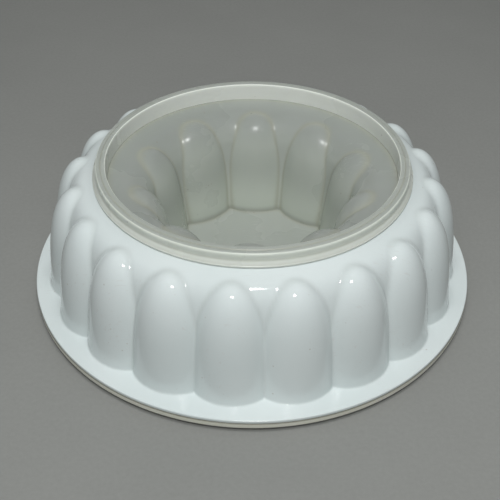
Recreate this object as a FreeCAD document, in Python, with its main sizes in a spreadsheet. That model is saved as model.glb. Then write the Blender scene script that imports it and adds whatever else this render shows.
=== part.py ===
import FreeCAD, Part
import math
import os

import Sketcher

# A ring mould for jelly, standing on its wide side, in millimetres and degrees.
# Z is up, the table is at Z = 0 and every piece is coaxial with the Z axis.

doc = FreeCAD.newDocument("jelly_mould")
sheet = doc.addObject("Spreadsheet::Sheet", "sizes")

SIZES = [
    ("seat", 0.3, "height left open where one piece rests on another"),
    # mould shell: flange
    ("flange_low", 6.3, "underside of the flange"),
    ("flange_wall", 1.8, "thickness of the flange at the feet of the flutes"),
    ("flange_width", 17.0, "from the foot of the wall to the flange's outer edge"),
    ("flange_fall", 0.7, "how much lower the flange is at its edge"),
    ("rim_wall", 1.4, "thickness of the flange's turned edge"),
    ("rim_depth", 0.6, "how far that edge reaches below the flange"),
    ("rim_round", 1.2, "rounding of that edge"),
    ("lip_inset", 2.2, "from the flange's edge in to the ring that the seal grips"),
    ("lip_wall", 2.0, "thickness of that ring"),
    ("lip_depth", 2.4, "how far that ring reaches below the flange"),
    # mould shell: wall
    ("shell_wall", 1.8, "thickness of the shell"),
    ("neck_radius", 82.7, "outside of the neck"),
    ("neck_wall", 2.0, "thickness of the neck"),
    ("neck_height", 5.2, "height of the neck over the shoulder"),
    ("shoulder_width", 17.3, "from the neck out to the corner of shoulder and wall"),
    ("shoulder_fall", 4.5, "from the foot of the neck down to that corner"),
    ("knuckle_round", 18.0, "rounding of that corner"),
    ("side_height", 58.1, "from the flange up to that corner"),
    ("side_spread", 8.0, "how much wider the wall is at its foot"),
    # mould shell: flutes
    ("flute_count", 20, "flutes round the shell"),
    ("flute_turn", -5.64, "turn of the shell about Z"),
    ("flute_inset", 16.76, "from the foot of the wall in to a flute's middle line"),
    ("flute_foot", 25.4, "radius of a flute at its foot"),
    ("flute_rise", 0.8, "how much longer a flute is than the wall is high"),
    ("flute_taper", 11.7, "draft of a flute"),
    ("flute_lean", 2.5, "outward lean of a flute's middle line"),
    ("flute_sink", 0.4, "how far a flute's foot sinks into the flange"),
    ("flute_reach", 6.0, "how far the hollow of a flute is carried below its foot"),
    # centre cup: rim that caps the neck
    ("cup_wall", 1.3, "thickness of the cup"),
    ("cap_gap", 0.4, "clearance between the neck and the rim outside it"),
    ("throat_gap", 0.35, "clearance between the neck and the cup inside it"),
    ("cap_round", 1.1, "rounding of the rim's top"),
    ("cap_straight", 4.5, "from the rim's top down to where it flares"),
    ("cap_flare", 1.7, "height of the flare"),
    ("cap_lip_width", 2.0, "how far the lip stands out"),
    ("cap_lip_height", 1.25, "height of the lip's edge"),
    ("cap_lip_rise", 0.4, "rise of the lip's bottom towards the neck"),
    # centre cup: wall and floor
    ("crease_fall", 10.0, "from the rim's top down to the shoulder inside"),
    ("bowl_shoulder", 22.05, "from the rim in to the corner of shoulder and wall"),
    ("bowl_fall", 5.5, "from the shoulder's outer edge down to that corner"),
    ("bowl_round", 18.0, "rounding of that corner"),
    ("bowl_draft", 7.0, "how much narrower the wall is at the floor"),
    ("floor_gap", 1.55, "height left open between the cup's floor and the seal"),
    # centre cup: flutes
    ("cup_flute_count", 10, "flutes inside the cup"),
    ("cup_flute_turn", 16.66, "turn of the cup about Z"),
    ("cup_flute_set", 21.4, "from the floor's edge out to a flute's middle line"),
    ("cup_flute_foot", 28.2, "radius of a flute at its foot"),
    ("cup_flute_rise", 2.95, "how much longer a flute is than the wall is high"),
    ("cup_flute_taper", 11.3, "draft of a flute"),
    ("cup_flute_lean", 5.6, "inward lean of a flute's middle line"),
    ("cup_flute_sink", 0.4, "how far a flute's foot sinks into the floor"),
    ("cup_flute_reach", 3.0, "how far the hollow of a flute is carried below its foot"),
    # base seal
    ("seal_stand", 0.2, "how far the seal stands out past the flange"),
    ("seal_wall", 1.4, "thickness of the seal"),
    ("channel_gap", 0.3, "clearance of the channel that takes the flange's ring, each side"),
    ("channel_floor", 1.3, "thickness of the seal under that channel"),
    ("disc_low", 1.5, "underside of the seal's disc"),
    ("foot_inset", 7.8, "from the seal's edge in to the ring that it stands on"),
    ("foot_wall", 2.6, "width of that ring"),
    ("foot_slope", 0.6, "draft of that ring, each side"),
    ("step_radius", 62.0, "edge of the raised middle of the seal"),
    ("step_rise", 0.5, "rise of the middle"),
]


class Size:
    """A length or an angle: its text in the sheet's names, and its number now."""

    def __init__(self, text, number):
        self.text = text
        self.number = number

    def __add__(self, other):
        return Size("(%s + %s)" % (self.text, other.text), self.number + other.number)

    def __sub__(self, other):
        return Size("(%s - %s)" % (self.text, other.text), self.number - other.number)

    def __mul__(self, other):
        return Size("(%s * %s)" % (self.text, other.text), self.number * other.number)

    def __truediv__(self, other):
        return Size("(%s / %s)" % (self.text, other.text), self.number / other.number)

    def __neg__(self):
        return Size("(0 - %s)" % self.text, -self.number)


def sine(angle):
    return Size("sin(%s)" % angle.text, math.sin(math.radians(angle.number)))


def cosine(angle):
    return Size("cos(%s)" % angle.text, math.cos(math.radians(angle.number)))


def tangent(angle):
    return Size("tan(%s)" % angle.text, math.tan(math.radians(angle.number)))


def fill_sheet():
    for row, (name, number, meaning) in enumerate(SIZES, start=1):
        sheet.set("A%d" % row, meaning)
        sheet.set("B%d" % row, str(number))
        sheet.setAlias("B%d" % row, name)
    doc.recompute()


def size(name):
    return Size("sizes." + name, float(sheet.get(name)))


ZERO = Size("0", 0.0)


def origin_part(body, role):
    return [item for item in body.Origin.OriginFeatures if item.Role == role][0]


def new_sketch(body, name):
    sketch = body.newObject("Sketcher::SketchObject", name)
    sketch.AttachmentSupport = [(origin_part(body, "XZ_Plane"), "")]
    sketch.MapMode = "FlatFace"
    return sketch


def bind(sketch, kind, places, amount):
    """One dimension of a sketch, tied to the sheet."""
    index = sketch.addConstraint(Sketcher.Constraint(kind, *places, amount.number))
    sketch.setExpression("Constraints[%d]" % index, amount.text)


def pin_point(sketch, geometry, end, corner):
    """Hold a point at its two coordinates, or on an axis where a coordinate is zero."""
    across, up = corner[0], corner[1]
    if across is ZERO:
        sketch.addConstraint(Sketcher.Constraint("PointOnObject", geometry, end, -2))
    else:
        bind(sketch, "DistanceX", (-1, 1, geometry, end), across)
    if up is ZERO:
        sketch.addConstraint(Sketcher.Constraint("PointOnObject", geometry, end, -1))
    else:
        bind(sketch, "DistanceY", (-1, 1, geometry, end), up)


def flat_point(corner):
    return FreeCAD.Vector(corner[0].number, corner[1].number, 0)


def rounding(before, corner, after, radius):
    """Where an arc of this radius starts and ends in a corner, its centre and its turn."""
    back = (before - corner).normalize()
    ahead = (after - corner).normalize()
    half = back.getAngle(ahead) / 2
    reach = radius / math.tan(half)
    middle = (back + ahead).normalize() * (radius / math.sin(half))
    turn = ahead.cross(back).z
    return corner + back * reach, corner + ahead * reach, corner + middle, turn


def arc_between(centre, first, last, radius):
    start = math.atan2(first.y - centre.y, first.x - centre.x)
    end = math.atan2(last.y - centre.y, last.x - centre.x)
    circle = Part.Circle(centre, FreeCAD.Vector(0, 0, 1), radius)
    return Part.ArcOfCircle(circle, start, end)


def draw_outline(sketch, corners):
    """A closed outline of straight lines; a corner with a third value is rounded by it."""
    points = [flat_point(corner) for corner in corners]
    count = len(corners)
    starts = list(points)
    ends = list(points)
    arcs = {}
    for i, corner in enumerate(corners):
        if len(corner) == 3:
            before = points[i - 1]
            after = points[(i + 1) % count]
            first, last, centre, turn = rounding(before, points[i], after, corner[2].number)
            ends[i] = first
            starts[i] = last
            arcs[i] = (centre, first, last, turn)
    for i in range(count):
        sketch.addGeometry(Part.LineSegment(starts[i], ends[(i + 1) % count]), False)
    for i, corner in enumerate(corners):
        line_in = (i - 1) % count
        if i not in arcs:
            sketch.addConstraint(Sketcher.Constraint("Coincident", line_in, 2, i, 1))
            pin_point(sketch, i, 1, corner)
            continue
        centre, first, last, turn = arcs[i]
        left_turn = turn > 0
        from_point, to_point = (first, last) if left_turn else (last, first)
        arc = sketch.addGeometry(arc_between(centre, from_point, to_point, corner[2].number), False)
        in_end, out_end = (1, 2) if left_turn else (2, 1)
        sketch.addConstraint(Sketcher.Constraint("Tangent", line_in, 2, arc, in_end))
        sketch.addConstraint(Sketcher.Constraint("Tangent", i, 1, arc, out_end))
        bind(sketch, "Radius", (arc,), corner[2])
        tip = sketch.addGeometry(Part.Point(points[i]), True)
        sketch.addConstraint(Sketcher.Constraint("PointOnObject", tip, 1, line_in))
        sketch.addConstraint(Sketcher.Constraint("PointOnObject", tip, 1, i))
        pin_point(sketch, tip, 1, corner)


def turned(body, kind, name, sketch, axis="V_Axis"):
    """A Revolution or Groove of a sketch, all the way round one of its axes."""
    before = body.Shape.Volume if kind == "Groove" else 0.0
    feature = body.newObject("PartDesign::" + kind, name)
    feature.Profile = sketch
    feature.ReferenceAxis = (sketch, [axis])
    feature.Angle = 360.0
    sketch.Visibility = False
    doc.recompute()
    if kind == "Groove" and feature.Shape.Volume >= before:
        raise ValueError(name + " cuts nothing")
    return feature


def all_round(body, name, features, count):
    """Repeat features about the Z axis."""
    before = body.Shape.Volume
    pattern = body.newObject("PartDesign::PolarPattern", name)
    pattern.Originals = features
    pattern.Axis = (origin_part(body, "Z_Axis"), [""])
    pattern.Angle = 360.0
    pattern.setExpression("Occurrences", count.text)
    body.Tip = pattern
    doc.recompute()
    if abs(pattern.Shape.Volume - before) < 1.0:
        raise ValueError(name + " changes nothing")
    return pattern


class Flute:
    """A tapered finger with a round tip: where its outline runs, seen from the side."""

    def __init__(self, axis, foot_height, foot, length, taper, lean, inset, sink):
        self.axis = axis
        self.foot_height = foot_height
        self.taper = taper
        self.lean = lean
        self.sink = sink
        one = Size("1", 1.0)
        crown = (foot - length * tangent(taper)) / (one / cosine(taper) - tangent(taper))
        self.crown = crown - inset
        self.length = length - inset
        self.foot = foot - inset / cosine(taper) + sink * tangent(taper)

    def point(self, out, along):
        """A point this far out from the middle line and this far up along it."""
        across = self.axis + out * cosine(self.lean) + along * sine(self.lean)
        up = self.foot_height + along * cosine(self.lean) - out * sine(self.lean)
        return across, up

    def shoulder(self):
        """Where the straight side turns into the round tip."""
        centre = self.length - self.crown
        return self.crown * cosine(self.taper), centre + self.crown * sine(self.taper)

    def draw_half(self, sketch):
        """Half of the finger, for turning about the middle line."""
        base = self.point(ZERO, -self.sink)
        edge = self.point(self.foot, -self.sink)
        side = self.point(*self.shoulder())
        tip = self.point(ZERO, self.length)
        centre = self.point(ZERO, self.length - self.crown)
        spots = [flat_point(spot) for spot in (base, edge, side, tip)]
        middle = sketch.addGeometry(Part.LineSegment(spots[0], spots[3]), True)
        for first, last in ((0, 1), (1, 2), (3, 0)):
            sketch.addGeometry(Part.LineSegment(spots[first], spots[last]), False)
        arc = sketch.addGeometry(
            arc_between(flat_point(centre), spots[2], spots[3], self.crown.number), False)
        for pair in ((1, 2, 2, 1), (2, 2, arc, 1), (arc, 2, 3, 1), (3, 2, 1, 1),
                     (middle, 1, 1, 1), (middle, 2, 3, 1)):
            sketch.addConstraint(Sketcher.Constraint("Coincident", *pair))
        pin_point(sketch, 1, 1, base)
        pin_point(sketch, 2, 1, edge)
        pin_point(sketch, arc, 1, side)
        pin_point(sketch, 3, 1, tip)
        bind(sketch, "Radius", (arc,), self.crown)


class Mould:
    """Radii and heights that more than one outline takes, worked out from the sheet."""

    def __init__(self):
        # shell, outwards and up from the neck and the flange
        self.neck_inner = size("neck_radius") - size("neck_wall")
        self.knuckle = size("neck_radius") + size("shoulder_width")
        self.side = self.knuckle + size("side_spread")
        self.rim = self.side + size("flange_width")
        self.rim_low = size("flange_low") - size("rim_depth")
        self.lip = self.rim - size("lip_inset")
        self.lip_inner = self.lip - size("lip_wall")
        self.lip_low = size("flange_low") - size("lip_depth")
        self.flange_top = size("flange_low") + size("flange_wall")
        self.knuckle_high = self.flange_top + size("side_height")
        self.neck_foot = self.knuckle_high + size("shoulder_fall")
        self.neck_top = self.neck_foot + size("neck_height")
        # seal, under the shell
        self.disc_top = size("disc_low") + size("seal_wall")
        self.step_top = self.disc_top + size("step_rise")
        # cup, hung over the neck
        self.floor_low = self.step_top + size("floor_gap")
        self.cap_top = self.neck_top + size("seat") + size("cup_wall")
        self.neck_side = self.neck_inner - size("throat_gap")
        self.crease = self.neck_side - size("cup_wall")
        self.crease_high = self.cap_top - size("crease_fall")
        self.bowl = self.crease - size("bowl_shoulder")
        self.bowl_high = self.crease_high - size("bowl_fall")
        self.floor = self.bowl - size("bowl_draft")


def make_shell(mould):
    """The white ring wall: flange, wall, shoulder and neck, with flutes that bulge outwards."""
    body = doc.addObject("PartDesign::Body", "mould_shell")
    wall = size("shell_wall")
    low = size("flange_low")
    rim_inner = mould.rim - size("rim_wall")
    ring = new_sketch(body, "shell_ring")
    draw_outline(ring, [
        (mould.neck_inner, low),
        (mould.lip_inner, low),
        (mould.lip_inner, mould.lip_low),
        (mould.lip, mould.lip_low),
        (mould.lip, low),
        (rim_inner, low),
        (rim_inner, mould.rim_low),
        (mould.rim, mould.rim_low),
        (mould.rim, mould.flange_top - size("flange_fall"), size("rim_round")),
        (mould.side, mould.flange_top),
        (mould.knuckle, mould.knuckle_high, size("knuckle_round")),
        (size("neck_radius"), mould.neck_foot),
        (size("neck_radius"), mould.neck_top),
        (mould.neck_inner, mould.neck_top),
    ])
    turned(body, "Revolution", "shell_solid", ring)

    flute = [mould.side - size("flute_inset"), mould.flange_top, size("flute_foot"),
             size("side_height") + size("flute_rise"), size("flute_taper"), size("flute_lean")]
    full = new_sketch(body, "flute_outside")
    Flute(*flute, ZERO, size("flute_sink")).draw_half(full)
    outside = turned(body, "Revolution", "flute_solid", full, "Axis0")
    all_round(body, "flutes", [outside], size("flute_count"))

    small = new_sketch(body, "flute_inside")
    Flute(*flute, wall, size("flute_reach")).draw_half(small)
    inside = turned(body, "Groove", "flute_hollow", small, "Axis0")
    all_round(body, "flute_hollows", [inside], size("flute_count"))

    cavity = new_sketch(body, "shell_inside")
    draw_outline(cavity, [
        (ZERO, ZERO),
        (mould.side - wall, ZERO),
        (mould.side - wall, mould.flange_top),
        (mould.knuckle - wall, mould.knuckle_high - wall, size("knuckle_round") - wall),
        (mould.neck_inner, mould.neck_foot - wall),
        (ZERO, mould.neck_foot - wall),
    ])
    body.Tip = turned(body, "Groove", "shell_hollow", cavity)
    body.setExpression("Placement.Rotation.Angle", "sizes.flute_turn")
    return body


def make_cup(mould):
    """The see-through cup: a rim that caps the neck, a tapering fluted wall and a flat floor."""
    body = doc.addObject("PartDesign::Body", "centre_cup")
    wall = size("cup_wall")
    floor_top = mould.floor_low + wall
    foot_outer = mould.floor + wall
    shoulder_low = mould.crease_high - wall
    knuckle = (mould.bowl + wall, mould.bowl_high - wall, size("bowl_round") - wall)
    cap_inner = size("neck_radius") + size("cap_gap")
    cap_outer = cap_inner + wall
    cap_step = mould.cap_top - size("cap_straight")
    lip_outer = cap_outer + size("cap_lip_width")
    lip_high = cap_step - size("cap_flare")
    lip_low = lip_high - size("cap_lip_height")
    dish = new_sketch(body, "cup_section")
    draw_outline(dish, [
        (ZERO, mould.floor_low),
        (foot_outer, mould.floor_low),
        knuckle,
        (mould.neck_side, shoulder_low),
        (mould.neck_side, mould.cap_top - wall),
        (cap_inner, mould.cap_top - wall),
        (cap_inner, cap_step),
        (lip_outer - wall, lip_high),
        (lip_outer - wall, lip_low + size("cap_lip_rise")),
        (lip_outer, lip_low),
        (lip_outer, lip_high),
        (cap_outer, cap_step),
        (cap_outer, mould.cap_top, size("cap_round")),
        (mould.crease, mould.cap_top, size("cap_round")),
        (mould.crease, mould.crease_high),
        (mould.bowl, mould.bowl_high, size("bowl_round")),
        (mould.floor, floor_top),
        (ZERO, floor_top),
    ])
    turned(body, "Revolution", "cup_solid", dish)

    flute_axis = mould.floor + size("cup_flute_set")
    flute_length = mould.bowl_high - floor_top + size("cup_flute_rise")
    flute = [flute_axis, floor_top, size("cup_flute_foot"), flute_length,
             size("cup_flute_taper"), -size("cup_flute_lean")]
    full = new_sketch(body, "cup_flute_outside")
    Flute(*flute, ZERO, size("cup_flute_sink")).draw_half(full)
    added = turned(body, "Revolution", "cup_flute_solid", full, "Axis0")
    all_round(body, "cup_flutes", [added], size("cup_flute_count"))

    beyond = flute_axis + size("cup_flute_foot") + size("cup_flute_foot")
    outside = new_sketch(body, "cup_outside")
    draw_outline(outside, [
        (ZERO, -size("cup_flute_foot")),
        (beyond, -size("cup_flute_foot")),
        (beyond, shoulder_low),
        (mould.neck_side, shoulder_low),
        knuckle,
        (foot_outer, mould.floor_low),
        (ZERO, mould.floor_low),
    ])
    turned(body, "Groove", "cup_trimmed", outside)

    small = new_sketch(body, "cup_flute_inside")
    Flute(*flute, wall, size("cup_flute_reach")).draw_half(small)
    cut = turned(body, "Groove", "cup_flute_hollow", small, "Axis0")
    body.Tip = all_round(body, "cup_flute_hollows", [cut], size("cup_flute_count"))
    body.setExpression("Placement.Rotation.Angle", "sizes.cup_flute_turn")
    return body


def make_seal(mould):
    """The see-through seal: a thin disc on a low ring, with a channel that grips the flange."""
    body = doc.addObject("PartDesign::Body", "base_seal")
    outer = mould.rim + size("seal_stand")
    channel_outer = mould.lip + size("channel_gap")
    channel_inner = mould.lip_inner - size("channel_gap")
    channel_low = mould.lip_low - size("seat")
    seal_low = channel_low - size("channel_floor")
    hook_inner = channel_inner - size("seal_wall")
    hook_top = size("flange_low") - size("seat")
    band_top = mould.rim_low - size("seat")
    disc_low = size("disc_low")
    foot_outer = outer - size("foot_inset")
    foot_inner = foot_outer - size("foot_wall")
    step_foot = size("step_radius") + size("step_rise")
    section = new_sketch(body, "seal_section")
    draw_outline(section, [
        (ZERO, disc_low + size("step_rise")),
        (size("step_radius"), disc_low + size("step_rise")),
        (step_foot, disc_low),
        (foot_inner - size("foot_slope"), disc_low),
        (foot_inner, ZERO),
        (foot_outer, ZERO),
        (foot_outer + size("foot_slope"), disc_low),
        (channel_inner, seal_low),
        (outer, seal_low),
        (outer, band_top),
        (channel_outer, band_top),
        (channel_outer, channel_low),
        (channel_inner, channel_low),
        (channel_inner, hook_top),
        (hook_inner, hook_top),
        (hook_inner, mould.disc_top),
        (step_foot, mould.disc_top),
        (size("step_radius"), mould.step_top),
        (ZERO, mould.step_top),
    ])
    body.Tip = turned(body, "Revolution", "seal_solid", section)
    return body


def check_document():
    for item in doc.Objects:
        if "Invalid" in item.State or "Error" in item.State:
            raise ValueError("%s is %s" % (item.Label, item.State))
        shape = getattr(item, "Shape", None)
        if shape is not None and item.TypeId.startswith("PartDesign"):
            if shape.isNull() or not shape.isValid():
                raise ValueError(item.Label + " has no valid shape")


def write_pieces(bodies):
    os.makedirs("parts", exist_ok=True)
    for body in bodies:
        if len(body.Shape.Solids) != 1:
            raise ValueError("%s is %d solids" % (body.Label, len(body.Shape.Solids)))
        body.Shape.exportStep("parts/%s.step" % body.Label)


fill_sheet()
mould = Mould()
pieces = [make_seal(mould), make_shell(mould), make_cup(mould)]
doc.recompute()
check_document()
write_pieces(pieces)
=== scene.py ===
import math

import bmesh
import bpy
import numpy as np
from mathutils import Matrix, Vector


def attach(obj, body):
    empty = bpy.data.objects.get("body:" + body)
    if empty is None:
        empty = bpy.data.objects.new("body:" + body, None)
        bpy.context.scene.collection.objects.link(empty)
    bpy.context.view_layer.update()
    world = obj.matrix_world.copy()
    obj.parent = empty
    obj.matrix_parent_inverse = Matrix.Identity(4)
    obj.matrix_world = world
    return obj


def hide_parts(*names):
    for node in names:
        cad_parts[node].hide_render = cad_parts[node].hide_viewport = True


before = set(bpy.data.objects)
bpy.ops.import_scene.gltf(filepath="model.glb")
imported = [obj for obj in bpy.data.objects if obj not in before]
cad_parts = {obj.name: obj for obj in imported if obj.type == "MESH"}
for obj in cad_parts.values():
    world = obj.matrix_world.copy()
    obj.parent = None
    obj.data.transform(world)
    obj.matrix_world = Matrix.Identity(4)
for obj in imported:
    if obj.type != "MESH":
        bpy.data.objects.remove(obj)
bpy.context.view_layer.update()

# Lengths are in millimetres and angles in degrees, and meshes are laid in metres. Names that end in
# OUT or IN are radii from the Z axis, and those in TOP, FOOT or UNDER are heights over the table.
MM = 0.001

# Values kept on each vertex: painted shade near folds, and painted light where white plastic shows through.
MARKS = ("fold_shade", "painted_through_light")

# Mould shell
SHELL_FLUTES = 20
SHELL_FLUTE_AT = -95.64     # where the middle of one flute stands round the ring
SHELL_THICK = 1.8
NECK_OUT = 82.7
NECK_IN = 80.7
NECK_TOP = 75.9
NECK_FOOT = 71.4            # where the neck's outside runs into the shoulder
THROAT_FOOT = 69.2          # where the neck's inside runs into the inner wall
RIM_OUT = 125.0
FLANGE_FOOT = 8.1           # top of the flange at the feet of the valleys
FLANGE_FALL = 0.041         # how much it falls for each millimetre outwards
FLANGE_UNDER = 6.3
VALLEY_OUT = 108.0
EDGE_IN = 123.6             # the flange's turned edge
EDGE_FOOT = 5.7
RING_IN = 120.8             # the ring under the flange, which the seal grips
RING_OUT = 122.8
RING_FOOT = 3.9

# Centre cup
CUP_FLUTES = 10
CUP_FLUTE_AT = 16.66
CUP_THICK = 1.3
FLOOR_TOP = 6.25
FLOOR_OUT = 49.8
KNUCKLE = (57.0, 62.0)      # corner between the cup's wall and its shoulder
KNUCKLE_SOFT = 13.9         # how far back that corner's bend starts, both ways
CREASE = (79.05, 67.5)      # where the shoulder meets the rim
CAP_OUT = 84.4
CAP_TOP = 77.5
CAP_STEP = 81.65            # radius at which the cap's top steps down
SKIRT_IN = 83.1
SKIRT_FOOT = 73.3           # where the skirt turns outwards to its lip
CHANNEL_TOP = 76.2
LIP_OUT = 86.4
LIP_IN = 85.1
LIP_TOP = 71.0
PLUG_OUT = 80.35            # back of the wall that stands inside the neck
PLUG_FOOT = 66.55

# Base seal
SEAL_OUT = 125.14
SEAL_TOP = 5.4
SEAL_UNDER = 2.3            # underside of the channel
CHANNEL_IN = 120.5
CHANNEL_OUT = 123.1
CHANNEL_FLOOR = 3.6
STANDING_IN = 119.1         # the standing ring inside the flange's ring
STANDING_TOP = 6.0
DISC_UNDER = 1.5
DISC_THICK = 1.4
MIDDLE_OUT = 62.0           # edge of the raised middle
MIDDLE_RAISED = 0.5         # how far it is raised
STAND_RING_IN = 114.8       # the ring that the mould stands on
STAND_RING_OUT = 117.4


# Meshes

def grid_faces(rows, columns, closed):
    """Two triangles for each cell of a grid of points that run row by row.

    Closed joins the last column to the first.
    """
    across = columns if closed else columns - 1
    row, column = np.meshgrid(np.arange(rows - 1), np.arange(across), indexing="ij")
    following = (column + 1) % columns
    near = (row * columns + column).ravel()
    beside = (row * columns + following).ravel()
    above = near + columns
    corner = beside + columns
    return np.concatenate([np.stack([near, beside, corner], 1), np.stack([near, corner, above], 1)])


def weld(points, faces, marks):
    """One vertex wherever points agree to a tenth of a micrometre; faces that shrink to a line go."""
    keys = np.round(points, 4) + 0.0
    _, first, place = np.unique(keys, axis=0, return_index=True, return_inverse=True)
    faces = place.ravel()[faces]
    solid = (faces[:, 0] != faces[:, 1]) & (faces[:, 1] != faces[:, 2]) & (faces[:, 2] != faces[:, 0])
    return points[first], faces[solid], marks[first]


def lay_mesh(name, sheet, look, body, node):
    """A closed, smooth piece from a sheet of (points, faces, marks), which takes a CAD node's place.

    The marks become attributes of its vertices, and its faces are turned outwards.
    """
    points, faces, marks = weld(*sheet)
    mesh = bpy.data.meshes.new(name)
    mesh.vertices.add(len(points))
    mesh.vertices.foreach_set("co", (points * MM).ravel())
    mesh.loops.add(faces.size)
    mesh.loops.foreach_set("vertex_index", faces.ravel())
    mesh.polygons.add(len(faces))
    mesh.polygons.foreach_set("loop_start", np.arange(len(faces)) * 3)
    mesh.update(calc_edges=True)
    for column, mark in enumerate(MARKS):
        held = mesh.attributes.new(mark, "FLOAT", "POINT")
        held.data.foreach_set("value", np.ascontiguousarray(marks[:, column]))
    outward = bmesh.new()
    outward.from_mesh(mesh)
    bmesh.ops.recalc_face_normals(outward, faces=outward.faces)
    outward.to_mesh(mesh)
    outward.free()
    mesh.shade_smooth()
    mesh.materials.append(look)
    piece = bpy.data.objects.new(name, mesh)
    bpy.context.scene.collection.objects.link(piece)
    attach(piece, body)
    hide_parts(node)


def bent(start, corner, end, count):
    """Points on the curve (1-t)^2 start + 2t(1-t) corner + t^2 end, with t from 0 to 1."""
    start, corner, end = (np.asarray(spot) for spot in (start, corner, end))
    t = np.linspace(0.0, 1.0, count)[:, None]
    return (1 - t) ** 2 * start + 2 * t * (1 - t) * corner + t ** 2 * end


def bent_rows(start, corner, end, count):
    """Rows between two rows of (radii, heights), bent towards a third, without the first row."""
    start, corner, end = (np.stack(row, -1).ravel() for row in (start, corner, end))
    rows = bent(start, corner, end, count)[1:].reshape(count - 1, -1, 2)
    return rows[..., 0], rows[..., 1]


def crowded(start, end, count, even, power):
    """Values from start to end that stand closer together near start.

    They are start + (end - start) (even t + (1 - even) t^power), with t in equal steps from 0 to 1.
    """
    t = np.linspace(0, 1, count)
    return start + (end - start) * (even * t + (1 - even) * t ** power)


def rounded(corners):
    """An open outline through corners of (radius, height, rounding).

    Each corner between the ends is cut back by its rounding along both sides, but by no more than
    0.45 of either, and bent. Each straight run gets a support point a little off each bend.
    """
    support = 0.35
    spots = np.array([corner[:2] for corner in corners], float)
    line = [spots[:1]]
    for place in range(1, len(spots) - 1):
        here = spots[place]
        before = spots[place - 1] - here
        after = spots[place + 1] - here
        before_far = np.hypot(*before)
        after_far = np.hypot(*after)
        cut = min(corners[place][2], 0.45 * before_far, 0.45 * after_far)
        lead = min(cut + support, 0.49 * before_far)
        trail = min(cut + support, 0.49 * after_far)
        line.append((here + before / before_far * lead)[None])
        line.append(bent(here + before / before_far * cut, here, here + after / after_far * cut, 6))
        line.append((here + after / after_far * trail)[None])
    line.append(spots[-1:])
    return np.concatenate(line)


def swept(radius, height, azimuth):
    """Points of sections swept round Z: x = radius cos(azimuth), y = radius sin(azimuth)."""
    height = np.broadcast_to(height, radius.shape)
    points = np.stack([radius * np.cos(azimuth), radius * np.sin(azimuth), height], -1)
    return points.reshape(-1, 3), grid_faces(*radius.shape, True)


def fair_curve(knots, values, at):
    """A natural cubic through the knots.

    Its second slope runs straight between neighbouring knots and is zero at both ends.
    """
    step = np.diff(knots)
    count = len(knots)
    table = np.zeros((count, count))
    right = np.zeros(count)
    table[0, 0] = table[-1, -1] = 1.0
    inner = np.arange(1, count - 1)
    table[inner, inner - 1] = step[:-1]
    table[inner, inner] = 2 * (step[:-1] + step[1:])
    table[inner, inner + 1] = step[1:]
    right[inner] = 6 * (np.diff(values[1:]) / step[1:] - np.diff(values[:-1]) / step[:-1])
    second = np.linalg.solve(table, right)
    place = np.clip(np.searchsorted(knots, at) - 1, 0, count - 2)
    far = (at - knots[place]) / step[place]
    near = 1 - far
    bow = (near ** 3 - near) * second[place] + (far ** 3 - far) * second[place + 1]
    return near * values[place] + far * values[place + 1] + bow * step[place] ** 2 / 6


def soft_step(value, low, high):
    """0 below low, 1 above high and 3 t^2 - 2 t^3 between them."""
    t = np.clip((value - low) / (high - low), 0, 1)
    return t * t * (3 - 2 * t)


def hump(value, at, reach):
    """1 where value equals at, falling off to both sides: exp(-((value - at) / reach)^2)."""
    return np.exp(-((value - at) / reach) ** 2)


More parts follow.
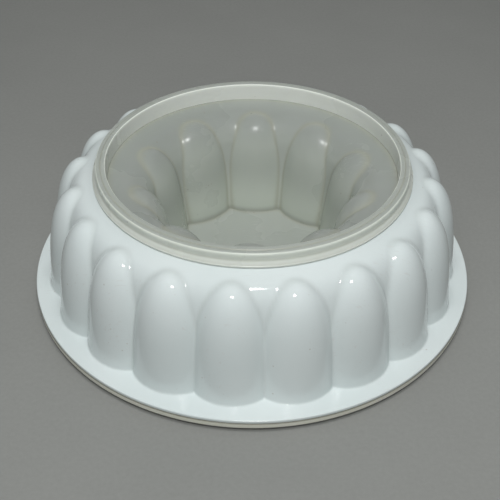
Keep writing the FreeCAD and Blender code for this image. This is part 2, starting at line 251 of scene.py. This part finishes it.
class FlutedWall:
    """A wall with flutes round it, seen from a ring line that runs round Z behind its plastic.

    Every point of the skin is a distance from the ring line, looking up at an angle of rise. Side is
    1 where the line looks outwards and -1 where it looks inwards. Front is the radius of a flute's
    front at the line's height. Across and along are a flute's half widths at its top, towards Z and
    round the ring, tall its height, blunt how square its top is, spread how much wider it gets down
    to its foot, lean its tilt back in degrees, and melt how softly it runs into the wall.
    """

    FARTHEST = 66.0     # a flute's skin is looked for no farther from the ring line than this
    MISSED = -50.0      # distance given where a line of sight misses the flute
    NARROWED = 0.82     # share of a wall's thickness by which the flute's hollow is narrower

    def __init__(self, ring_out, ring_up, side, wall_line, front, across, along, tall, blunt, spread,
                 lean, melt):
        self.ring_out = ring_out
        self.ring_up = ring_up
        self.side = side
        self.across = across
        self.along = along
        self.tall = tall
        self.blunt = blunt
        self.spread = spread
        self.lean = math.radians(lean)
        self.melt = melt
        self.middle = front - side * across * (1 + spread)
        out = side * (wall_line[:, 0] - ring_out)
        up = wall_line[:, 1] - ring_up
        order = np.argsort(np.arctan2(up, out))
        self.wall_rise = np.arctan2(up, out)[order]
        self.wall_far = np.hypot(out, up)[order]

    def flute_distance(self, off, rise, thin):
        """Distance of a flute's skin, looking up at rise and standing off from the flute's middle.

        The skin is where (x / a t)^2 + (y / b t)^2 + (s / h)^n = 1, with x across, y round the ring,
        s up the leaning middle line, and t = 1 + spread (1 - s / h). The outermost root is bracketed
        in steps and refined.
        """
        across = self.across - self.NARROWED * thin
        along = self.along - self.NARROWED * thin
        tall = self.tall - thin
        start_out = self.ring_out * np.cos(off) - self.middle
        start_side = self.ring_out * np.sin(off)
        step_out = self.side * np.cos(rise) * np.cos(off)
        step_side = self.side * np.cos(rise) * np.sin(off)
        step_up = np.sin(rise)

        def level(far):
            out = start_out + far * step_out
            round_ring = start_side + far * step_side
            up = far * step_up
            x = out * math.cos(self.lean) + up * math.sin(self.lean)
            s = up * math.cos(self.lean) - out * math.sin(self.lean)
            wide = 1 + self.spread * (1 - s / tall)
            top = np.sign(s) * (np.abs(s) / tall) ** self.blunt
            return (x / (across * wide)) ** 2 + (round_ring / (along * wide)) ** 2 + top - 1

        zero = np.zeros(np.broadcast(off, rise).shape)
        reach = zero + self.MISSED
        found = np.zeros(zero.shape, bool)
        last = level(zero + self.FARTHEST)
        for far in np.arange(self.FARTHEST - 1, 0.0, -1.0):
            now = level(zero + far)
            hit = ~found & (now < 0) & (last >= 0)
            reach = np.where(hit, far - now / (last - now + 1e-12), reach)
            found |= hit
            last = now
        nudge = 1e-3
        for _ in range(3):
            here = level(reach)
            slope = (level(reach + nudge) - here) / nudge
            slope = np.where(np.abs(slope) < 1e-6, 1.0, slope)
            reach = np.where(found, reach - here / slope, reach)
        return reach

    def skin(self, off, rise, thin=0.0):
        """Radius, height and fold shade of the skin: the farther of wall and flute, melted where they
        cross.

        With h = 1/2 + (f - w) / 2k held between 0 and 1, the distance is w (1 - h) + f h + k h (1 - h).
        Fold shade, the shade painted along the line where they cross, is 1 on that line and falls off to
        both sides.
        """
        wall = fair_curve(self.wall_rise, self.wall_far, rise) - thin + 0 * off
        flute = self.flute_distance(off, rise, thin)
        mix = np.clip(0.5 + 0.5 * (flute - wall) / self.melt, 0, 1)
        far = wall * (1 - mix) + flute * mix + self.melt * mix * (1 - mix)
        fold_shade = hump(flute, wall, 1.5 * self.melt)
        return (self.ring_out + self.side * far * np.cos(rise), self.ring_up + far * np.sin(rise), fold_shade)

    def foot_radii(self, off):
        """Radii of the skin a tenth of a degree over the ring line, where flange or floor meets it."""
        return self.skin(off[None], np.radians([[0.1]]))[0][0]


def flute_azimuths(count, first, columns, gather):
    """Angles off one flute's middle, and the azimuths of all flutes.

    Gather, from 0 to 1, draws the columns towards the valleys.
    """
    share = np.linspace(-1, 1, columns, endpoint=False)
    spread = (1 - gather) * share + gather * np.sin(math.pi * share / 2)
    off = np.radians(spread * 180 / count)
    flute = np.radians(first + 360 / count * np.arange(count))
    return off, (flute[:, None] + off[None]).ravel()


def ring(section, columns, *marks):
    """A plain section and its marks, the same at every azimuth."""
    one = np.ones(columns)
    return tuple(values[:, None] * one for values in (section[:, 0], section[:, 1]) + marks)


def strip(pieces, count, azimuth):
    """One closed strip from pieces of (radii, heights, fold shade, painted light) that follow each other.

    Fold shade and painted light are 0 where a piece has none.
    """
    radius = np.tile(np.concatenate([piece[0] for piece in pieces]), (1, count))
    height = np.tile(np.concatenate([piece[1] for piece in pieces]), (1, count))
    marks = []
    for place in range(2, 2 + len(MARKS)):
        mark = np.concatenate([piece[place] if len(piece) > place else 0 * piece[0] for piece in pieces])
        marks.append(np.tile(mark, (1, count)).ravel())
    points, faces = swept(radius, height, azimuth)
    return points, faces, np.stack(marks, -1)


# Mould shell

SHELL_WALL = FlutedWall(
    ring_out=80.0, ring_up=8.0, side=1, front=116.7, across=14.37, along=16.58, tall=59.48, blunt=4.62,
    spread=0.354, lean=1.85, melt=1.2,
    wall_line=np.array([
        (109.5, 8.0), (108.7, 14.5), (107.5, 21.0), (106.3, 28.6), (104.7, 38.2), (103.7, 44.6),
        (102.2, 52.5), (99.3, 60.6), (94.3, 66.1), (88.0, 68.9), (86.4, 69.7), (83.2, 70.7)]))


def flange_height(radius):
    """Top of the flange: it falls evenly outwards."""
    return FLANGE_FOOT - FLANGE_FALL * (radius - VALLEY_OUT)


def shell_sheet():
    """The whole shell as one closed strip of sections, one for each azimuth.

    Each section runs down the neck, over shoulder and flute, round a small foot, out along the flange,
    round its turned edge and the ring under it, and back up inside the wall.
    """
    columns = 22
    off, azimuth = flute_azimuths(SHELL_FLUTES, SHELL_FLUTE_AT, columns, 0.55)
    neck = rounded([(NECK_IN + 0.1, NECK_TOP, 0), (NECK_OUT, NECK_TOP, 0.6), (NECK_OUT, NECK_FOOT, 0)])

    rise = np.radians(crowded(86.4, 1.75, 86, 0.62, 1.9))
    skin = SHELL_WALL.skin(off[None], rise[:, None])

    foot_out = SHELL_WALL.foot_radii(off)
    end_out = foot_out + 0.85
    foot = bent_rows((skin[0][-1], skin[1][-1]), (foot_out, flange_height(foot_out)),
                     (end_out, flange_height(end_out)), 6)
    edge = RIM_OUT - 1.5
    share = np.array([0.08, 0.22, 0.42, 0.64, 0.82, 0.94])[:, None]
    plate_out = end_out + (edge - end_out) * share
    rim = rounded([
        (edge, flange_height(edge), 0), (RIM_OUT, flange_height(RIM_OUT), 1.25),
        (RIM_OUT, EDGE_FOOT, 0.25), (EDGE_IN, EDGE_FOOT, 0.25), (EDGE_IN, FLANGE_UNDER, 0.15),
        (RING_OUT, FLANGE_UNDER, 0.15), (RING_OUT, RING_FOOT, 0.5), (RING_IN, RING_FOOT, 0.5),
        (RING_IN, FLANGE_UNDER, 0.3), (RING_IN - 2.0, FLANGE_UNDER, 0)])

    back_rise = np.radians(crowded(85.9, 1.0, 36, 0.62, 1.9)[::-1])
    inner = SHELL_WALL.skin(off[None], back_rise[:, None], SHELL_THICK)
    inner_foot = (inner[0][:1] + 0.5, np.full((1, columns), FLANGE_UNDER))
    throat = rounded([(NECK_IN, THROAT_FOOT, 0), (NECK_IN, NECK_TOP, 0.5), (NECK_IN + 0.1, NECK_TOP, 0)])
    return strip([ring(neck, columns), skin, foot, (plate_out, flange_height(plate_out)),
                  ring(rim, columns), inner_foot, inner, ring(throat, columns)], SHELL_FLUTES, azimuth)


# Centre cup

def cup_wall_line():
    """The cup's plain wall, from the floor's edge up, round the knuckle and out along the shoulder."""
    floor = np.array([FLOOR_OUT, FLOOR_TOP])
    knuckle = np.array(KNUCKLE)
    crease = np.array(CREASE)
    up = (knuckle - floor) / np.hypot(*(knuckle - floor))
    out = (crease - knuckle) / np.hypot(*(crease - knuckle))
    bend_from = knuckle - up * KNUCKLE_SOFT
    bend_to = knuckle + out * KNUCKLE_SOFT
    share = np.array([[0.0], [0.25], [0.5], [0.75]])
    straight = floor + (bend_from - floor) * share
    return np.concatenate([straight, bent(bend_from, knuckle, bend_to, 9), [crease]])


CUP_WALL = FlutedWall(
    ring_out=CREASE[0], ring_up=FLOOR_TOP, side=-1, front=44.35, across=15.23, along=19.62, tall=58.56,
    blunt=5.66, spread=0.36, lean=0.21, melt=0.8, wall_line=cup_wall_line())


def floor_rows(foot_out, height, shares):
    """Rows of the floor, at shares of the way from the middle to the foot line."""
    return foot_out * shares[:, None], np.full((len(shares), len(foot_out)), height)


def cup_sheet():
    """The whole cup as one closed strip of sections, one for each azimuth.

    Each section runs over the floor, up the fluted wall to the crease, up and over the cap that grips
    the shell's neck, back inside it, and down the wall's outer skin to the middle of the floor's underside.
    """
    columns = 38
    off, azimuth = flute_azimuths(CUP_FLUTES, CUP_FLUTE_AT, columns, 0.5)
    rise = np.radians(crowded(90.0, 2.0, 88, 0.45, 1.5)[::-1])
    skin = list(CUP_WALL.skin(off[None], rise[:, None]))
    foot_out = CUP_WALL.foot_radii(off)
    floor_end = foot_out - 0.9
    level = FLOOR_TOP + 0 * foot_out
    corner = bent_rows((skin[0][0], skin[1][0]), (foot_out, level), (floor_end, level), 6)
    corner = (corner[0][::-1], corner[1][::-1])
    floor = floor_rows(floor_end, FLOOR_TOP, np.array([0.0, 0.3, 0.55, 0.75, 0.88, 0.96]))

    # Painted shade in the floor's corner and in the crease where the shoulder meets the rim, and painted
    # light standing in for light through the plastic: most a little above the floor, less up the wall and
    # none on the shoulder
    floor_through_light = 0.13
    crease_shade_level = 0.8
    height = skin[1]
    crease_shade = crease_shade_level * hump(height, FLOOR_TOP, 1.6) + crease_shade_level * hump(height, CREASE[1], 0.5)
    skin[2] = np.clip(skin[2] + crease_shade, 0, 1)
    skin.append(floor_through_light + 0.29 * soft_step(height, 6.5, 11.0) - 0.22 * soft_step(height, 14.0, 38.0)
                - 0.20 * soft_step(height, 49.0, 65.0))
    corner += (np.full(corner[0].shape, crease_shade_level), np.full(corner[0].shape, floor_through_light))
    floor += (0 * floor[0], 0 * floor[0] + floor_through_light)

    cap = rounded([
        (CREASE[0], CREASE[1] + 0.05, 0), (CREASE[0], CAP_TOP, 0.7), (CAP_STEP - 0.15, CAP_TOP, 0.25),
        (CAP_STEP + 0.15, CAP_TOP - 0.3, 0.25), (CAP_OUT, CAP_TOP - 0.35, 1.2), (CAP_OUT, SKIRT_FOOT, 0.8),
        (LIP_OUT - 0.35, LIP_TOP + 0.3, 0.5), (LIP_OUT, LIP_TOP, 0.2), (LIP_OUT, LIP_TOP - 0.95, 0.35),
        (LIP_IN, LIP_TOP - 0.55, 0.35), (LIP_IN, LIP_TOP + 0.2, 0.4), (SKIRT_IN, SKIRT_FOOT - 0.3, 0.8),
        (SKIRT_IN, CHANNEL_TOP, 0.6), (PLUG_OUT, CHANNEL_TOP, 0.6), (PLUG_OUT, PLUG_FOOT, 0.5),
        (PLUG_OUT - 0.95, PLUG_FOOT - 0.3, 0)])

    # Painted shade lines on the cap: at the step of its top, at the skirt's foot and above the lip
    cap_out = cap[:, 0]
    cap_up = cap[:, 1]
    cap_shade_lines = (0.9 * hump(cap_out, CAP_STEP + 0.05, 0.35) * (cap_up > CAP_TOP - 0.7)
             + 0.7 * hump(cap_up, SKIRT_FOOT, 0.4) * (cap_out > CAP_OUT - 0.4)
             + 0.5 * hump(cap_up, LIP_TOP + 0.5, 0.3) * (cap_out > LIP_IN + 0.2))

    # Painted light where the shell's white neck shows through: on the plug and the skirt, and a little
    # on the cap's top
    plug_through_light = 1.0
    top_through_light = 0.10
    skirt_through_light = 0.68
    neck_through_light = np.where(cap_out < CREASE[0] + 0.3, plug_through_light,
                          np.where(cap_out < CAP_OUT - 0.5, top_through_light, skirt_through_light))

    back_rise = np.radians(crowded(90.0, 0.0, 30, 0.45, 1.5))
    outer = CUP_WALL.skin(off[None], back_rise[:, None], CUP_THICK)
    outer_foot = outer[0][-1]
    low = FLOOR_TOP - CUP_THICK
    edge = floor_rows(outer_foot, low, np.array([1.0, 0.985]))
    under = floor_rows(outer_foot, low, np.array([0.9, 0.6, 0.3, 0.0]))
    return strip([floor, corner, skin, ring(cap, columns, cap_shade_lines, neck_through_light), outer[:2], edge, under],
                 CUP_FLUTES, azimuth)


# Base seal

def seal_sheet():
    """The seal: a thin disc with a raised middle, a standing ring and a channel for the flange's ring."""
    columns = 288
    disc_top = DISC_UNDER + DISC_THICK
    slope = 0.6
    section = rounded([
        (0.0, DISC_UNDER + MIDDLE_RAISED, 0), (MIDDLE_OUT, DISC_UNDER + MIDDLE_RAISED, 0.4),
        (MIDDLE_OUT + slope, DISC_UNDER, 0.4), (STAND_RING_IN - slope, DISC_UNDER, 0.3),
        (STAND_RING_IN, 0.0, 0.5), (STAND_RING_OUT, 0.0, 0.5), (STAND_RING_OUT + slope, DISC_UNDER, 0.4),
        (CHANNEL_IN, SEAL_UNDER, 0.5), (SEAL_OUT, SEAL_UNDER, 0.6), (SEAL_OUT, SEAL_TOP, 0.5),
        (CHANNEL_OUT, SEAL_TOP, 0.3), (CHANNEL_OUT, CHANNEL_FLOOR, 0.3), (CHANNEL_IN, CHANNEL_FLOOR, 0.3),
        (CHANNEL_IN, STANDING_TOP, 0.4), (STANDING_IN, STANDING_TOP, 0.4), (STANDING_IN, disc_top, 0.5),
        (MIDDLE_OUT + slope, disc_top, 0.4), (MIDDLE_OUT, disc_top + MIDDLE_RAISED, 0.4),
        (0.0, disc_top + MIDDLE_RAISED, 0)])
    azimuth = np.linspace(0, 2 * math.pi, columns, endpoint=False)

    # Painted shade lines along the top and the foot of the outer band: the dark gap under the flange's
    # edge and the contact shadow at its foot
    out = section[:, 0]
    up = section[:, 1]
    top_shade_line = soft_step(up, SEAL_TOP - 0.8, SEAL_TOP - 0.05)
    top_shade_line *= soft_step(out, CHANNEL_OUT - 0.2, CHANNEL_OUT + 0.3)
    foot_shade_line = 1 - soft_step(up, SEAL_UNDER, SEAL_UNDER + 0.45)
    foot_shade_line *= soft_step(out, CHANNEL_OUT - 1.1, CHANNEL_OUT + 0.9)
    return strip([ring(section, columns, top_shade_line + foot_shade_line)], 1, azimuth)


# Finishes

def new_mix(tree, factor, before, after):
    """A colour between before and after.

    Each of the two is a colour or an output, and factor is an output.
    """
    made = tree.nodes.new("ShaderNodeMix")
    made.data_type = "RGBA"
    tree.links.new(factor, made.inputs[0])
    for place, colour in ((6, before), (7, after)):
        if isinstance(colour, tuple):
            made.inputs[place].default_value = colour + (1.0,)
        else:
            tree.links.new(colour, made.inputs[place])
    return made.outputs[2]


def new_math(tree, operation, first, second):
    """The result of a sum on an output and a number or another output."""
    made = tree.nodes.new("ShaderNodeMath")
    made.operation = operation
    tree.links.new(first, made.inputs[0])
    if isinstance(second, float):
        made.inputs[1].default_value = second
    else:
        tree.links.new(second, made.inputs[1])
    return made.outputs["Value"]


def new_band(tree, source, low, high):
    """A soft step: 0 where source is at low, 1 where it is at high."""
    made = tree.nodes.new("ShaderNodeMapRange")
    made.interpolation_type = "SMOOTHSTEP"
    made.inputs["From Min"].default_value = low
    made.inputs["From Max"].default_value = high
    tree.links.new(source, made.inputs["Value"])
    return made.outputs["Result"]


def new_noise(tree, place, scale, detail, roughness):
    """Noise at a place; scale is a number or an output."""
    made = tree.nodes.new("ShaderNodeTexNoise")
    made.inputs["Detail"].default_value = detail
    made.inputs["Roughness"].default_value = roughness
    tree.links.new(place, made.inputs["Vector"])
    if isinstance(scale, float):
        made.inputs["Scale"].default_value = scale
    else:
        tree.links.new(scale, made.inputs["Scale"])
    return made.outputs["Fac"]


def worn_plastic():
    """Node group: slow unevenness, faint scuffs, fine specks and moulding ripple at a place.

    Tone and ripple are plain noise. Scuffs are stretched noise inside patches of slower noise, and
    specks are the middles of small cells that another noise picks.
    """
    tree = bpy.data.node_groups.new("worn plastic", "ShaderNodeTree")
    tree.interface.new_socket(name="Place", in_out="INPUT", socket_type="NodeSocketVector")
    tree.interface.new_socket(name="Tone scale", in_out="INPUT", socket_type="NodeSocketFloat")
    for name in ("Tone", "Scuffs", "Specks", "Ripple"):
        tree.interface.new_socket(name=name, in_out="OUTPUT", socket_type="NodeSocketFloat")
    start = tree.nodes.new("NodeGroupInput")
    end = tree.nodes.new("NodeGroupOutput")
    place = start.outputs["Place"]
    link = tree.links.new

    tone = new_noise(tree, place, start.outputs["Tone scale"], 4.0, 0.55)
    link(new_band(tree, tone, 0.3, 0.7), end.inputs["Tone"])

    stretch = tree.nodes.new("ShaderNodeMapping")
    stretch.inputs["Scale"].default_value = (1.0, 9.0, 2.5)
    stretch.inputs["Rotation"].default_value = (0.2, 0.1, 0.7)
    link(place, stretch.inputs["Vector"])
    scratch = new_noise(tree, stretch.outputs["Vector"], 160.0, 6.0, 0.7)
    where = new_noise(tree, place, 38.0, 2.0, 0.5)
    scuffs = new_math(tree, "MULTIPLY", new_band(tree, scratch, 0.56, 0.68),
                      new_band(tree, where, 0.47, 0.62))
    link(scuffs, end.inputs["Scuffs"])

    dots = tree.nodes.new("ShaderNodeTexVoronoi")
    dots.inputs["Scale"].default_value = 260.0
    link(place, dots.inputs["Vector"])
    chosen = new_noise(tree, place, 150.0, 1.0, 0.5)
    specks = new_math(tree, "MULTIPLY", new_band(tree, dots.outputs["Distance"], 0.16, 0.05),
                      new_band(tree, chosen, 0.62, 0.7))
    link(specks, end.inputs["Specks"])
    link(new_noise(tree, place, 70.0, 2.0, 0.45), end.inputs["Ripple"])
    return tree


def plastic(name, group, tones, through_light, fold_shade, scuffed, speck, rough, tone_scale, ripple):
    """A moulded plastic: two tones mixed by the unevenness, with tints over them by their masks.

    The four tints after the tones are each a tint and its strength: painted light where white plastic
    shows through, painted shade on folds, scuffs and specks. Rough is the roughness of either tone, and
    ripple the height of the moulding ripple in metres.
    """
    scuff_dulls = 0.03
    made = bpy.data.materials.new(name)
    made.use_nodes = True
    tree = made.node_tree
    shader = tree.nodes["Principled BSDF"]
    place = tree.nodes.new("ShaderNodeTexCoord")
    wear = tree.nodes.new("ShaderNodeGroup")
    wear.node_tree = group
    wear.inputs["Tone scale"].default_value = tone_scale
    tree.links.new(place.outputs["Object"], wear.inputs["Place"])
    masks = []
    for mark in reversed(MARKS):
        mask = tree.nodes.new("ShaderNodeAttribute")
        mask.attribute_name = mark
        masks.append(mask.outputs["Fac"])
    masks += [wear.outputs["Scuffs"], wear.outputs["Specks"]]

    colour = new_mix(tree, wear.outputs["Tone"], *tones)
    for source, (tint, strength) in zip(masks, (through_light, fold_shade, scuffed, speck)):
        colour = new_mix(tree, new_math(tree, "MULTIPLY", source, strength), colour, tint)
    tree.links.new(colour, shader.inputs["Base Color"])

    gloss = tree.nodes.new("ShaderNodeMapRange")
    gloss.inputs["To Min"].default_value = rough[0]
    gloss.inputs["To Max"].default_value = rough[1]
    tree.links.new(wear.outputs["Tone"], gloss.inputs["Value"])
    dulled = new_math(tree, "MULTIPLY", wear.outputs["Scuffs"], scuff_dulls)
    tree.links.new(new_math(tree, "ADD", gloss.outputs["Result"], dulled), shader.inputs["Roughness"])

    bump = tree.nodes.new("ShaderNodeBump")
    bump.inputs["Distance"].default_value = ripple
    tree.links.new(wear.outputs["Ripple"], bump.inputs["Height"])
    tree.links.new(bump.outputs["Normal"], shader.inputs["Normal"])
    shader.inputs["IOR"].default_value = 1.5
    return made


def soften(look, weight, radius, scale):
    """Light that enters the plastic and comes out beside it.

    Weight is the share of such light, scale its spread in metres and radius each colour's share of it.
    """
    shader = look.node_tree.nodes["Principled BSDF"]
    shader.inputs["Subsurface Weight"].default_value = weight
    shader.inputs["Subsurface Radius"].default_value = radius
    shader.inputs["Subsurface Scale"].default_value = scale


wear_group = worn_plastic()
shell_white = plastic(
    "glossy white plastic", wear_group,
    tones=((0.67, 0.74, 0.735), (0.705, 0.77, 0.765)),
    through_light=((0.8, 0.8, 0.8), 0.0),
    # Painted shade where the flutes meet the wall
    fold_shade=((0.52, 0.57, 0.56), 0.42),
    scuffed=((0.62, 0.64, 0.62), 0.5),
    speck=((0.45, 0.43, 0.38), 0.6),
    rough=(0.09, 0.13), tone_scale=16.0, ripple=0.00006)
soften(shell_white, 0.12, (1.0, 1.0, 1.0), 0.002)
cup_milky = plastic(
    "milky see-through plastic", wear_group,
    tones=((0.322, 0.346, 0.322), (0.352, 0.377, 0.352)),
    # Painted light: a near-white tint where light through the plastic is painted
    through_light=((0.91, 0.985, 0.86), 1.0),
    # Painted shade on folds, creases and the cap's lines, in a yellow-green tint
    fold_shade=((0.38, 0.385, 0.30), 0.5),
    scuffed=((0.62, 0.64, 0.59), 0.05),
    speck=((0.3, 0.27, 0.21), 0.6),
    rough=(0.25, 0.31), tone_scale=14.0, ripple=0.00008)
soften(cup_milky, 0.6, (1.0, 1.0, 0.9), 0.004)
seal_milky = plastic(
    "yellowed see-through plastic", wear_group,
    tones=((0.75, 0.755, 0.64), (0.80, 0.80, 0.69)),
    through_light=((0.5, 0.5, 0.4), 0.0),
    # Painted shade for the gap under the flange and the contact shadow at the band's foot
    fold_shade=((0.12, 0.12, 0.09), 0.8),
    scuffed=((0.5, 0.49, 0.42), 0.5),
    speck=((0.2, 0.17, 0.12), 0.6),
    rough=(0.32, 0.42), tone_scale=18.0, ripple=0.00008)
soften(seal_milky, 0.5, (1.0, 1.0, 0.85), 0.004)

lay_mesh("fluted_shell", shell_sheet(), shell_white, "mould", "mould_shell")
lay_mesh("fluted_cup", cup_sheet(), cup_milky, "cup", "centre_cup")
lay_mesh("flange_seal", seal_sheet(), seal_milky, "seal", "base_seal")


# Floor, light and camera

def pale_cloth():
    """The floor's finish: two pale greys, mixed half by slow blotches and half by a fine weave."""
    look = bpy.data.materials.new("pale grey cloth")
    look.use_nodes = True
    tree = look.node_tree
    shader = tree.nodes["Principled BSDF"]
    place = tree.nodes.new("ShaderNodeTexCoord")
    blotch = new_noise(tree, place.outputs["Object"], 9.0, 8.0, 0.65)
    weave = new_noise(tree, place.outputs["Object"], 420.0, 2.0, 0.6)
    half_blotch = new_math(tree, "MULTIPLY", blotch, 0.5)
    half_weave = new_math(tree, "MULTIPLY", weave, 0.5)
    shade = new_mix(tree, new_math(tree, "ADD", half_blotch, half_weave),
                    (0.218, 0.224, 0.212), (0.302, 0.309, 0.294))
    tree.links.new(shade, shader.inputs["Base Color"])
    shader.inputs["Roughness"].default_value = 0.85
    return look


def studio_floor():
    """A pale floor that sweeps up behind, in metres.

    It is a strip whose section is flat, then a quarter circle, then upright.
    """
    front = -4.0
    side = 4.0
    bend_from = 0.62
    bend_radius = 0.35
    top = 3.0
    turn = np.linspace(0, math.pi / 2, 24)
    y = np.concatenate([[front], bend_from + bend_radius * np.sin(turn), [bend_from + bend_radius]])
    z = np.concatenate([[0.0], bend_radius - bend_radius * np.cos(turn), [top]])
    x = np.array([-side, side])
    points = np.stack([np.broadcast_to(x, (len(y), 2)), np.broadcast_to(y[:, None], (len(y), 2)),
                       np.broadcast_to(z[:, None], (len(y), 2))], -1).reshape(-1, 3)
    mesh = bpy.data.meshes.new("studio_floor")
    mesh.from_pydata(points.tolist(), [], grid_faces(len(y), 2, False).tolist())
    mesh.shade_smooth()
    mesh.materials.append(pale_cloth())
    floor = bpy.data.objects.new("studio_floor", mesh)
    bpy.context.scene.collection.objects.link(floor)


def lamp(name, place, aim, size, power, mirrored):
    """A rectangular soft lamp at place, turned to aim, size wide and deep in metres.

    Only a mirrored lamp shows in glossy surfaces.
    """
    light = bpy.data.lights.new(name, "AREA")
    light.shape = "RECTANGLE"
    light.size, light.size_y = size
    light.energy = power
    holder = bpy.data.objects.new(name, light)
    holder.location = place
    holder.rotation_euler = (Vector(aim) - Vector(place)).to_track_quat("-Z", "Y").to_euler()
    holder.visible_glossy = mirrored
    bpy.context.scene.collection.objects.link(holder)


def camera():
    """The photograph's view: from the front and 40 degrees up, with a slight turn, tilt and roll."""
    place = Vector((0.0, -0.3848, 0.3232))
    yaw, pitch, roll = (math.radians(angle) for angle in (-0.14, 0.99, 0.41))
    ahead = -place.normalized()
    right = Vector((1.0, 0.0, 0.0))
    up = right.cross(ahead)
    ahead, right = (ahead * math.cos(yaw) + right * math.sin(yaw),
                    right * math.cos(yaw) - ahead * math.sin(yaw))
    ahead, up = (ahead * math.cos(pitch) + up * math.sin(pitch),
                 up * math.cos(pitch) - ahead * math.sin(pitch))
    right, up = (right * math.cos(roll) + up * math.sin(roll),
                 up * math.cos(roll) - right * math.sin(roll))
    data = bpy.data.cameras.new("photo_camera")
    data.sensor_width = 36.0
    data.lens = 60.585
    data.clip_start = 0.01
    made = bpy.data.objects.new("photo_camera", data)
    turn = Matrix((right, up, -ahead)).transposed().to_4x4()
    made.matrix_world = Matrix.Translation(place) @ turn
    bpy.context.scene.collection.objects.link(made)
    bpy.context.scene.camera = made


# Each lamp's name, place, aim, size, watts and whether it shows in glossy surfaces
LAMPS = (
    ("overhead_lamp", (0.0, -0.15, 1.0), (0.0, 0.0, 0.0), (0.38, 0.20), 3.3, False),
    ("mirrored_lamp", (0.0, -0.55, 0.95), (0.0, 0.0, 0.05), (0.17, 0.09), 3.4, True),
    ("broad_ceiling", (0.0, -0.3, 1.5), (0.0, 0.0, 0.0), (2.6, 1.8), 2.2, False),
    ("front_fill", (0.0, -1.2, 0.9), (0.0, 0.0, 0.03), (1.2, 0.8), 1.9, False),
    ("back_fill", (0.0, 0.8, 0.8), (0.0, 0.0, 0.03), (0.8, 0.5), 1.2, False),
    ("near_fill", (0.0, -0.75, 0.55), (0.0, 0.0, 0.03), (0.5, 0.4), 1.0, False),
)

studio_floor()
for each_lamp in LAMPS:
    lamp(*each_lamp)
camera()

world = bpy.data.worlds.new("soft_room")
world.use_nodes = True
room_light = world.node_tree.nodes["Background"]
room_light.inputs["Color"].default_value = (0.92, 0.96, 1.0, 1.0)
room_light.inputs["Strength"].default_value = 0.10
bpy.context.scene.world = world
bpy.context.scene.view_settings.view_transform = "Standard"
